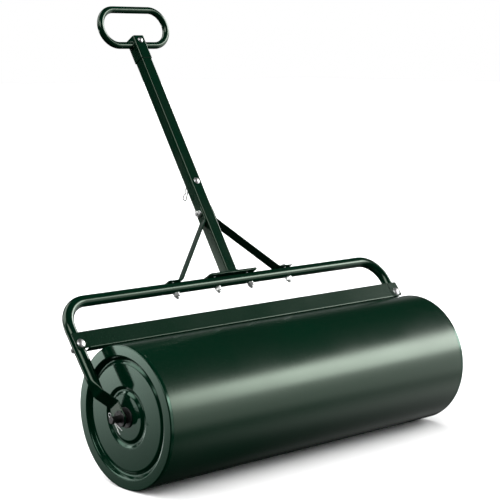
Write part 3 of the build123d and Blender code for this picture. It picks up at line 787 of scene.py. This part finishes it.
def addWeld(name, points, body, slotName, seed, material=tubeEnamel, radius=None):
    line = pathObject(name + "Path", points, closed=True)
    mesh = runTree(line, weldBead, {
        "Radius": radius or weld["radius"], "Pitch": weld["pitch"], "Ripple": weld["ripple"],
        "Unevenness": weld["unevenness"], "Seed": seed, "Material": material})
    mesh.shade_smooth()
    addPiece(name, mesh, None, body, slotName)


# A round bar or wire along a line.
def sweptPiece(name, points, radius, sides, material, sharp, *place):
    mesh = runTree(pathObject(name + "Path", points), sweepRound,
                   {"Radius": radius, "Sides": sides, "Material": material})
    mesh.shade_smooth()
    mesh.set_sharp_from_angle(angle=radians(sharp))
    addPiece(name, mesh, None, *place)


def circlePoints(place, radius, count=40):
    return [place @ point for point in circleRing(radius, 0, count)]


def buildWelds(gripAt):
    lift = weld["barLift"]
    base = tubeRadius + bar["plateThickness"] + lift
    around = [handleAt @ p for p in squareRing(bar["size"] / 2 + lift, bar["corner"], base, 5)]
    addWeld("drawbarWeld", around, "frame", "frame_paint", 4)
    for side, name in ((-1, "gripWeldLeft"), (1, "gripWeldRight")):
        place = gripAt @ shift(side * (sleeve["size"] / 2 + weld["sleeveLift"])) @ turn(90, "Y")
        around = circlePoints(place, gripTubeRadius + weld["gripLift"])
        addWeld(name, around, "frame", "frame_paint", 7 + side, radius=weld["gripRadius"])


# Axle, spacers, bushes and the tube that keeps the axle dry
axleBits = {"overhang": 0.0338, "chamfer": 0.0012, "radius": 0.008, "pinInset": 0.006, "bushWall": 0.005,
            "bushLength": 0.025, "flangeRadius": 0.022, "flangeThickness": 0.003, "tubeWall": 0.002,
            "spacerWall": 0.004, "endPlay": 0.0005, "washerRadius": 0.017, "washerThickness": 0.002,
            "bushGap": 0.00005, "boreGap": 0.0001, "bushRound": 0.0008}


def ringProfile(inner, outer, low, high, edge=0.0004):
    return [(inner, low), (outer - edge, low), (outer, low + edge), (outer, high - edge),
            (outer - edge, high), (inner, high)]


def buildAxle():
    a = axleBits
    end, r, c = drumEnd + a["overhang"], a["radius"], a["chamfer"]
    rod = [(0, -end), (r - c, -end), (r, -end + c), (r, end - c), (r - c, end), (0, end)]
    addBuilt("axle", lathe(rod, 64), rightEnd, drawnSteel, "frame", "bare_steel", "axle")
    face = drumEnd - cap["faceSink"]
    hole = r + a["bushGap"]
    bore = r + a["boreGap"]
    edge = a["bushRound"]
    bushOuter = hole + a["bushWall"]
    flangeTop = face + a["flangeThickness"]
    lugInner = drumEnd + frameTube["lugX"] - frameTube["flatHalf"]
    lugOuter = lugInner + 2 * frameTube["flatHalf"]
    tube = ringProfile(bushOuter, bushOuter + a["tubeWall"], -face + cap["wall"], face - cap["wall"])
    addBuilt("axleTube", lathe(tube, 64, loop=True), rightEnd, drawnSteel, "drum", "bare_steel", "axle_tube")
    bushProfile = [(hole, face - a["bushLength"]), (bushOuter, face - a["bushLength"]), (bushOuter, face),
                   (a["flangeRadius"] - 0.0005, face), (a["flangeRadius"], face + 0.0005),
                   (a["flangeRadius"], flangeTop - edge), (a["flangeRadius"] - edge, flangeTop),
                   (hole + 0.0006, flangeTop), (hole, flangeTop - 0.0006)]
    spacer = ringProfile(bore, r + a["spacerWall"], flangeTop + a["endPlay"], lugInner)
    washer = ringProfile(bore, a["washerRadius"], lugOuter, lugOuter + a["washerThickness"])
    for side, place in (("Left", leftEnd), ("Right", rightEnd)):
        low = side.lower()
        addBuilt("bush" + side, lathe(bushProfile, 64, loop=True), place, nylon, "drum", "nylon",
                 "bush_" + low)
        addBuilt("axleSpacer" + side, lathe(spacer, 48, loop=True), place, drawnSteel, "frame", "bare_steel",
                 "axle_spacer_" + low)
        made = addBuilt("axleWasher" + side, lathe(washer, 64, loop=True), place, agedZinc, "frame", "zinc")
        if side == "Left":
            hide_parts("axle_washers")


# Split pins: one wire doubled back on itself, eye at one end, legs spread beyond the axle
splitPin = {"wire": 0.00095, "eye": 0.0042, "leg": 0.025, "spread": 12.0, "turn": 129.0, "opening": 18.0,
            "neckGap": 0.0015, "eyeGap": 0.0016, "bendRadius": 0.004, "sides": 14}


def buildSplitPins():
    s, r = splitPin, axleBits["radius"]
    eyeAt = -r - s["eye"] - s["eyeGap"]
    path = []
    away = Vector((0, sin(radians(s["spread"])), cos(radians(s["spread"]))))
    for side in (-1, 1):
        neck = Vector((0, side * s["wire"] * 1.02, r + s["neckGap"]))
        tip = neck + Vector((0, side * away.y, away.z)) * s["leg"]
        opening = radians(s["opening"])
        arc = [Vector((0, side * s["eye"] * sin(opening + (pi - opening) * k / 14),
                       eyeAt + s["eye"] * cos(opening + (pi - opening) * k / 14))) for k in range(15)]
        leg = rounded([tip, neck, Vector((0, side * s["wire"] * 1.02, -r)), arc[1]], s["bendRadius"], 4)
        path += (leg + arc[2:]) if side < 0 else (leg + arc[2:-1])[::-1]
    for side, name, node in ((-1, "splitPinLeft", "split_pin_left"), (1, "splitPinRight", "split_pin_right")):
        along = side * (drumEnd + axleBits["overhang"] - axleBits["pinInset"])
        place = drumAt @ shift(along) @ turn(s["turn"], "X")
        sweptPiece(name, [place @ p for p in path], s["wire"], s["sides"], zincPlate, 50, "frame", "zinc",
                   node)


# Hitch pin and its clip
hitch = {"height": 0.257, "radius": 0.004, "tail": 0.010, "headRadius": 0.0083, "headHeight": 0.0046,
         "clipWire": 0.00125, "clipSides": 14, "standOff": 0.0055,
         "reach": 0.038, "coil": 0.00425, "tailEnd": -0.014, "shoulder": 0.008, "dip": (0.018, 0.0036),
         "saddle": (0.010, -0.004), "tip": (-0.012, 0.003), "pinGap": 0.001, "waveRadius": 0.009}


# From the rim up to the crown.
def domeProfile(radius, height, steps=10):
    ball = (radius ** 2 + height ** 2) / (2 * height)
    top = acos((ball - height) / ball)
    return [(ball * sin(top * (1 - k / steps)), ball * cos(top * (1 - k / steps)) - ball + height)
            for k in range(steps + 1)]


# A domed head with a low rim, from its seat up.
def domeHead(radius, height, rim=0.0004):
    return [(radius - 0.0003, 0), (radius, rim)] + [(r * 0.995, z + rim)
                                                    for r, z in domeProfile(radius, height - rim)]


def buildHitchPin():
    h, half = hitch, bar["size"] / 2
    length = bar["size"] + h["tail"]
    profile = [(0, -length), (h["radius"] - 0.001, -length), (h["radius"], -length + 0.001), (h["radius"], 0),
               *domeHead(h["headRadius"], h["headHeight"])]
    place = handleAt @ shift(y=-half, z=h["height"]) @ turn(90, "X")
    addBuilt("hitchPin", lathe(profile, 48), place, zincPlate, "hitch_pin", "zinc", "hitch_pin")


def buildClip():
    h = hitch
    back = handleAt @ shift(y=bar["size"] / 2 + h["standOff"], z=h["height"])
    along = clipAxis.normalized()
    across = (pinAxis.cross(along)).normalized() * -1
    origin = back.translation
    over = h["radius"] + h["clipWire"] + h["pinGap"]
    bend = [(h["reach"] + h["coil"] * sin(pi * k / 16), h["coil"] * (1 - cos(pi * k / 16)))
            for k in range(17)]
    spots = [(h["reach"], 2 * h["coil"]), (h["reach"] - h["shoulder"], 2 * h["coil"]),
             (h["reach"] - h["dip"][0], h["dip"][1]), (h["saddle"][0], over), (h["saddle"][1], over),
             (h["tip"][0], over + h["tip"][1])]
    waved = rounded([Vector((x, y, 0)) for x, y in spots], h["waveRadius"], 6)
    flat = [(h["tailEnd"], 0.0)] + bend + [(p.x, p.y) for p in waved[1:]]
    sweptPiece("rClip", [origin + along * u + across * v for u, v in flat], h["clipWire"], h["clipSides"],
               springZinc, 50, "r_clip", "zinc", "r_clip")


# Fill port in the right-hand cap
fill = {"radius": 0.090, "angle": 45.0, "bore": 0.010, "neckWall": 0.004, "neckHeight": 0.003,
        "neckDepth": 0.008, "gasket": 0.0015, "gasketGap": 0.00005, "flange": 0.0035, "flangeOver": 0.002,
        "shankGap": 0.0003, "chamfer": 0.0006, "pitch": 0.002, "threadDepth": 0.0007, "ribs": 20,
        "ribDepth": 0.00035, "dish": 0.0055, "wingHeight": 0.006, "wingLength": 0.020, "wingWidth": 0.005,
        "wingSink": 0.0012, "bead": 0.0018}


def buildFillPort():
    f = fill
    place = drumAt @ turn(f["angle"], "X") @ shift(drumEnd - cap["faceSink"], 0, f["radius"]) @ turn(90, "Y")
    outer = f["bore"] + f["neckWall"]
    neck = ringProfile(f["bore"], outer, -f["neckDepth"], f["neckHeight"])
    addBuilt("fillNeck", lathe(neck, 64, loop=True), place, sheetEnamel, "drum", "drum_paint", "fill_neck")
    addWeld("fillNeckWeld", circlePoints(place @ shift(z=weld["gripLift"]), outer + weld["barLift"]), "drum",
            "drum_paint", 11, sheetEnamel, f["bead"])
    seat = f["neckHeight"] + f["gasket"]
    gasket = ringProfile(f["bore"], outer, f["neckHeight"] + f["gasketGap"], seat, 0.0006)
    addBuilt("plugGasket", lathe(gasket, 64, loop=True), place, sealRubber, "fill_plug", "rubber_seal",
             "plug_gasket")
    top = seat + f["flange"]
    rim = outer + f["flangeOver"]
    shank = f["bore"] - f["shankGap"]
    c = f["chamfer"]
    steps = f["ribs"] * 8

    def plugRing(radius, height, ribbed=0.0, threaded=0.0):
        ring = []
        for i in range(steps):
            angle = 2 * pi * i / steps
            phase = (height / f["pitch"] + angle / (2 * pi)) % 1.0
            reach = radius + f["ribDepth"] * cos(f["ribs"] * angle) * ribbed
            reach -= f["threadDepth"] * abs(2 * phase - 1) * threaded
            ring.append(Vector((reach * cos(angle), reach * sin(angle), height)))
        return ring

    rings = [plugRing(shank - 2 * f["threadDepth"], -f["neckDepth"])]
    turns = int((f["neckDepth"] - c) / f["pitch"] * 8)
    rings += [plugRing(shank, -f["neckDepth"] + c + f["pitch"] * k / 8, threaded=1.0) for k in range(turns)]
    rings += [plugRing(shank, 0.0004), plugRing(shank, seat), plugRing(rim - c, seat),
              plugRing(rim, seat + c, 1.0), plugRing(rim, top - 0.001, 1.0), plugRing(rim - 0.001, top),
              plugRing(rim - 0.004, top), plugRing(rim - 0.005, top - c), plugRing(f["dish"], top - c)]
    build = skin(rings)
    a, b = f["wingWidth"] / 2, f["wingLength"] / 2
    wingOutline = [(a, b - 0.0005), (a - 0.0004, b), (-a + 0.0004, b), (-a, b - 0.0005),
                   (-a, -b + 0.0005), (-a + 0.0004, -b), (a - 0.0004, -b), (a, -b + 0.0005)]
    wing = []
    for height, grow in ((-f["wingSink"], 1.04), (0, 1.0), (f["wingHeight"] - 0.0008, 0.93),
                         (f["wingHeight"], 0.82)):
        wing.append([Vector((x * grow, y * (0.5 + grow / 2), top + height)) for x, y in wingOutline])
    addBuilt("fillPlug", joinBuild(build, skin(wing)), place, blackPlastic, "fill_plug", "black_plastic",
             "fill_plug")


# Fasteners: M8, each kind modelled once and set out by the fasteners tree
m8 = {"radius": 0.004, "across": 0.013, "head": 0.0053, "nut": 0.0065, "washerRadius": 0.008,
      "washer": 0.0016, "proud": 0.005, "pitch": 0.00125, "threadDepth": 0.00045, "dome": 0.010,
      "smallDome": 0.0072, "domeHeight": 0.0046, "threadLead": 0.004}


def hexSide(angle, across):
    return across / 2 / cos((angle % (pi / 3)) - pi / 6)


# Hexagon along z with the corners turned down at the top, and at the bottom for a nut.
def hexBuild(height, bore=None, bottomToo=False, steps=48):
    flat = m8["across"] / 2
    inner = flat * 0.96
    slope = tan(radians(30))

    def ring(kind, z):
        points = []
        for i in range(steps):
            angle = 2 * pi * i / steps
            reach = hexSide(angle, m8["across"])
            drop = max(reach - inner, 0) * slope
            radius = {"hex": reach, "round": inner}.get(kind, kind)
            zz = z - drop if kind == "hex" and z > 0 else z + drop if kind == "hex" and bottomToo else z
            points.append(Vector((radius * cos(angle), radius * sin(angle), zz)))
        return points

    rows = [ring("round", 0), ring("hex", 0), ring("hex", height), ring("round", height)]
    if bore:
        rows += [ring(bore + 0.0006, height), ring(bore, height - 0.0006), ring(bore, 0.0006),
                 ring(bore + 0.0006, 0)]
        return skin(rows, loop=True)
    rows += [ring(inner * 0.6, height), ring(inner * 0.55, height - 0.0003)]
    return skin(rows)


# Plain shank down from z = 0, with a rolled thread on the last part.
def threadedShank(length, threaded):
    steps = 24
    core = m8["radius"] - m8["threadDepth"]
    rows = int(threaded / m8["pitch"] * 8)
    plainEnd = -length + threaded + 0.0004
    rings = [circleRing(m8["radius"], height, steps) for height in (0.0, plainEnd)]
    for row in range(rows + 1):
        ring = []
        for i in range(steps):
            angle = 2 * pi * i / steps
            z = -length + threaded - threaded * row / rows
            phase = (-z / m8["pitch"] + angle / (2 * pi)) % 1.0
            radius = core + m8["threadDepth"] * (1 - abs(2 * phase - 1))
            radius -= 0.0006 * (row == rows)
            ring.append(Vector((radius * cos(angle), radius * sin(angle), z)))
        rings.append(ring)
    return skin(rings)


def boltBuild(head, length):
    return joinBuild(head, threadedShank(length, m8["nut"] + m8["proud"] + m8["threadLead"]))


def hexBolt(length):
    return boltBuild(hexBuild(m8["head"]), length)


def domeBolt(length, headRadius):
    return boltBuild(lathe([(0, 0), *domeHead(headRadius, m8["domeHeight"])], 48), length)


def nutBuild():
    return hexBuild(m8["nut"], m8["radius"], bottomToo=True)


def washerBuild():
    profile = ringProfile(m8["radius"] + 0.0002, m8["washerRadius"], 0.0, m8["washer"], 0.0003)
    return lathe(profile, 40, loop=True)


# One piece per kind: a copy at every (place matrix), local z along the bolt.
def setOut(name, build, spots, node, seed):
    kit = linked(name + "Kit", finishMesh(name + "Kit", build, sharp=28))
    points = bpy.data.meshes.new(name + "Points")
    points.from_pydata([tuple(spot.translation) for spot in spots], [], [])
    facing = points.attributes.new("direction", "FLOAT_VECTOR", "POINT")
    for i, spot in enumerate(spots):
        facing.data[i].vector = (spot.to_3x3() @ Vector((0, 0, 1))).normalized()
    mesh = runTree(linked(name + "Points", points), fasteners,
                   {"Fastener": kit, "Seed": seed, "Material": zincPlate})
    bpy.data.objects.remove(kit)
    addPiece(name, mesh, None, "frame", "zinc", node)


# A place at each side of the handle, left first; facing 90 turns it outwards.
def handleSides(x, up, facing=0):
    return [handleAt @ shift(side * x, 0, up) @ turn(side * facing, "Y") for side in (-1, 1)]


def buildFasteners():
    m = m8
    armX = drumEnd + frameTube["armOut"]
    front = -tubeRadius - scraper["thickness"]
    boltUp = scraper["bottom"] + scraper["height"] - scraper["boltDrop"]
    sides = (-1, 1)
    fronts = [frameAt @ shift(side * armX, front, boltUp) @ turn(90, "X") for side in sides]
    backs = [frameAt @ shift(side * armX, tubeRadius, boltUp) @ turn(-90, "X") for side in sides]
    length = scraper["thickness"] + 2 * tubeRadius + m["nut"] + m["proud"]
    setOut("scraperBolts", domeBolt(length, m["dome"]), fronts, "scraper_bolts", 21)
    setOut("scraperNuts", nutBuild(), backs, "scraper_nuts", 22)
    plateX, footX = bar["plateBolt"], brace["footStart"] + brace["footBolt"]
    for label, x, seat, seed in (("plate", plateX, tubeRadius + bar["plateThickness"], 30),
                                 ("brace_foot", footX, tubeRadius + brace["thickness"], 40)):
        name = "plate" if label == "plate" else "braceFoot"
        under = -tubeRadius - m["washer"]
        length = seat + tubeRadius + m["washer"] + m["nut"] + m["proud"]
        setOut(name + "Bolts", hexBolt(length), handleSides(x, seat), label + "_bolts", seed)
        setOut(name + "Washers", washerBuild(), handleSides(x, under), label + "_washers", seed + 1)
        setOut(name + "Nuts", nutBuild(), handleSides(x, under - m["nut"]), label + "_nuts", seed + 2)
    side = bar["size"] / 2 + brace["thickness"]
    up = bar["joint"] - brace["boltDrop"]
    outer = side + m["washer"]
    length = 2 * outer + m["nut"] + m["proud"]
    left, right = handleSides(outer, up, 90)
    setOut("braceBolt", hexBolt(length), [right], "brace_bolt", 51)
    setOut("braceBoltNut", nutBuild(), [left], "brace_bolt_nut", 52)
    setOut("braceBoltWashers", washerBuild(), handleSides(side, up, 90)[::-1], "brace_bolt_washers", 53)
    half, gripUp = sleeve["size"] / 2, sleeveTop - sleeve["boltDrop"]
    length = sleeve["size"] + m["nut"] + m["proud"]
    setOut("gripBolt", domeBolt(length, m["smallDome"]), [handleAt @ shift(0, -half, gripUp) @ turn(90, "X")],
           "grip_bolt", 61)
    setOut("gripNut", nutBuild(), [handleAt @ shift(0, half, gripUp) @ turn(-90, "X")], "grip_nut", 62)


buildDrumShell()
buildEndCaps()
print("drum ready")
buildFrameTube()
buildScraper()
buildDrawbar()
buildBraces()
buildWelds(buildGrip())
print("frame and handle ready")
buildAxle()
buildSplitPins()
buildHitchPin()
buildClip()
buildFillPort()
buildFasteners()
print("running gear, pins and fasteners ready")


studio = {
    "floorSize": 60.0, "floorTone": 0.8, "floorLight": 4.7, "floorLightSpread": 115.0,
    "floorLightTilt": (-8.0, -14.0), "background": 1.0, "ambient": 0.008,
    "camera": (-2.29254, -2.36658, 0.90697), "yaw": 42.79, "pitch": 7.72, "lens": 106.6,
}

# Each panel: bearing from the front towards the right, height above the horizon, half width and half
# height as slopes, softness of the sides and of the top and bottom, brightness at the top and the foot
panels = {
    "key": (70.0, 20.3, 0.36, 0.090, 0.40, 0.15, 12.5, 11.0),
    "keyFoot": (62.0, -3.0, 0.45, 0.12, 0.36, 0.24, 2.0, 1.1),
    "keyLow": (75.0, -18.0, 0.20, 0.20, 0.42, 0.28, 1.2, 0.8),
    "sideLow": (90.0, -30.0, 0.30, 0.10, 0.30, 0.25, 0.5, 0.35),
    "back": (-160.0, -14.0, 0.31, 0.070, 0.11, 0.05, 7.4, 0.3),
    "backTop": (-150.0, 44.0, 0.45, 0.12, 0.25, 0.12, 4.5, 3.5),
    "leftTop": (-62.0, 38.0, 0.25, 0.12, 0.15, 0.15, 5.0, 4.3),
    "rightRim": (138.0, 4.0, 0.40, 0.12, 0.25, 0.25, 0.25, 0.15),
    "backFill": (215.0, 20.0, 0.30, 0.14, 0.12, 0.12, 4.0, 3.0),
}


def buildFloor():
    mesh = bpy.data.meshes.new("floor")
    half = studio["floorSize"] / 2
    corners = [(-half, -half, 0), (half, -half, 0), (half, half, 0), (-half, half, 0)]
    mesh.from_pydata(corners, [], [(0, 1, 2, 3)])
    floor = linked("floor", mesh)
    material, tree, shader = newMaterial("paleFloor")
    tone = studio["floorTone"]
    setInputs(tree, shader, Base_Color=colour(tone, tone, tone), Roughness=0.9, Specular_IOR_Level=0.1)
    mesh.materials.append(material)
    floor.visible_glossy = False     # the paint reflects the panels, not the floor
    floor.visible_diffuse = False
    floor.visible_shadow = False
    return floor


# Brightness of a soft-edged rectangular panel seen along Ray, which it faces along local z.
def softPanelGroup():
    sizes = [(label, 0.0) for label in ("Half Width", "Half Height", "Side Edge", "Edge", "Top", "Foot")]
    group, start, end = newShaderGroup("softPanel", sizes, [("Brightness", "Float")])
    group.interface.new_socket("Ray", in_out="INPUT", socket_type="NodeSocketVector")
    parts = addNode(group, "ShaderNodeSeparateXYZ", Vector=start.outputs["Ray"])
    ahead = calc(group, "MAXIMUM", parts.outputs["Z"], 0.02)
    masks = []
    for axis, half, edge in (("X", "Half Width", "Side Edge"), ("Y", "Half Height", "Edge")):
        slope = calc(group, "DIVIDE", parts.outputs[axis], ahead)
        size = calc(group, "ABSOLUTE", slope)
        outer = calc(group, "ADD", start.outputs[half], start.outputs[edge])
        masks.append(addNode(group, "ShaderNodeMapRange", {"interpolation_type": "SMOOTHSTEP"}, Value=size,
                             From_Min=start.outputs[half], From_Max=outer, To_Min=1.0, To_Max=0.0))
    low = calc(group, "MULTIPLY", start.outputs["Half Height"], -1.0)
    rise = addNode(group, "ShaderNodeMapRange", Value=slope, From_Min=low,
                   From_Max=start.outputs["Half Height"])
    eased = calc(group, "POWER", rise, 2.0)
    shade = addNode(group, "ShaderNodeMapRange", Value=eased, To_Min=start.outputs["Foot"],
                    To_Max=start.outputs["Top"])
    area = calc(group, "MULTIPLY", masks[0], masks[1])
    facing = calc(group, "GREATER_THAN", parts.outputs["Z"], 0.02)
    seen = calc(group, "MULTIPLY", area, facing)
    total = calc(group, "MULTIPLY", seen, shade)
    setInputs(group, end, Brightness=total)
    return group


# White where the camera sees it; for light and reflections, soft panels in a dark room.
def buildWorld():
    world = bpy.data.worlds.new("studio")
    bpy.context.scene.world = world
    world.use_nodes = True
    tree = world.node_tree
    tree.nodes.clear()
    softPanel = softPanelGroup()
    place = addNode(tree, "ShaderNodeTexCoord")
    total = addNode(tree, "ShaderNodeValue").outputs[0]
    total.default_value = studio["ambient"]
    for bearing, height, halfWidth, halfHeight, sideEdge, edge, top, foot in panels.values():
        a, e = radians(bearing), radians(height)
        ahead = Vector((sin(a) * cos(e), -cos(a) * cos(e), sin(e)))
        across = Vector((cos(a), sin(a), 0))
        above = across.cross(ahead) * (1 if across.cross(ahead).z > 0 else -1)
        dots = [addNode(tree, "ShaderNodeVectorMath", {"operation": "DOT_PRODUCT"},
                        at0=place.outputs["Generated"], at1=axis).outputs["Value"]
                for axis in (across, above, ahead)]
        ray = addNode(tree, "ShaderNodeCombineXYZ", X=dots[0], Y=dots[1], Z=dots[2])
        panel = placeGroup(tree, softPanel, Ray=ray, Half_Width=halfWidth, Half_Height=halfHeight,
                           Side_Edge=sideEdge, Edge=edge, Top=top, Foot=foot)
        total = calc(tree, "ADD", total, panel)
    path = addNode(tree, "ShaderNodeLightPath")
    strength = addNode(tree, "ShaderNodeMix", {"data_type": "FLOAT"}, at0=path.outputs["Is Camera Ray"],
                       at2=total, at3=studio["background"])
    back = addNode(tree, "ShaderNodeBackground", Strength=strength, Color=colour(1, 1, 1))
    addNode(tree, "ShaderNodeOutputWorld", Surface=back)


def buildStudio():
    floor = buildFloor()
    buildWorld()
    floorOnly = bpy.data.collections.new("floorOnly")
    floorOnly.objects.link(floor)
    data = bpy.data.lights.new("floorLight", "SUN")
    data.energy = studio["floorLight"]
    data.angle = radians(studio["floorLightSpread"])
    lamp = linked("floorLight", data)
    tiltX, tiltY = studio["floorLightTilt"]
    lamp.rotation_euler = (radians(tiltX), radians(tiltY), 0)
    lamp.light_linking.receiver_collection = floorOnly


def buildCamera():
    data = bpy.data.cameras.new("camera")
    data.lens = studio["lens"]
    data.sensor_width = 36.0
    data.clip_end = 100.0
    camera = linked("camera", data)
    camera.location = studio["camera"]
    camera.rotation_euler = (radians(90 - studio["pitch"]), 0, radians(-studio["yaw"]))
    bpy.context.scene.camera = camera


buildStudio()
buildCamera()
bpy.context.scene.view_settings.view_transform = "Standard"
print("studio ready")
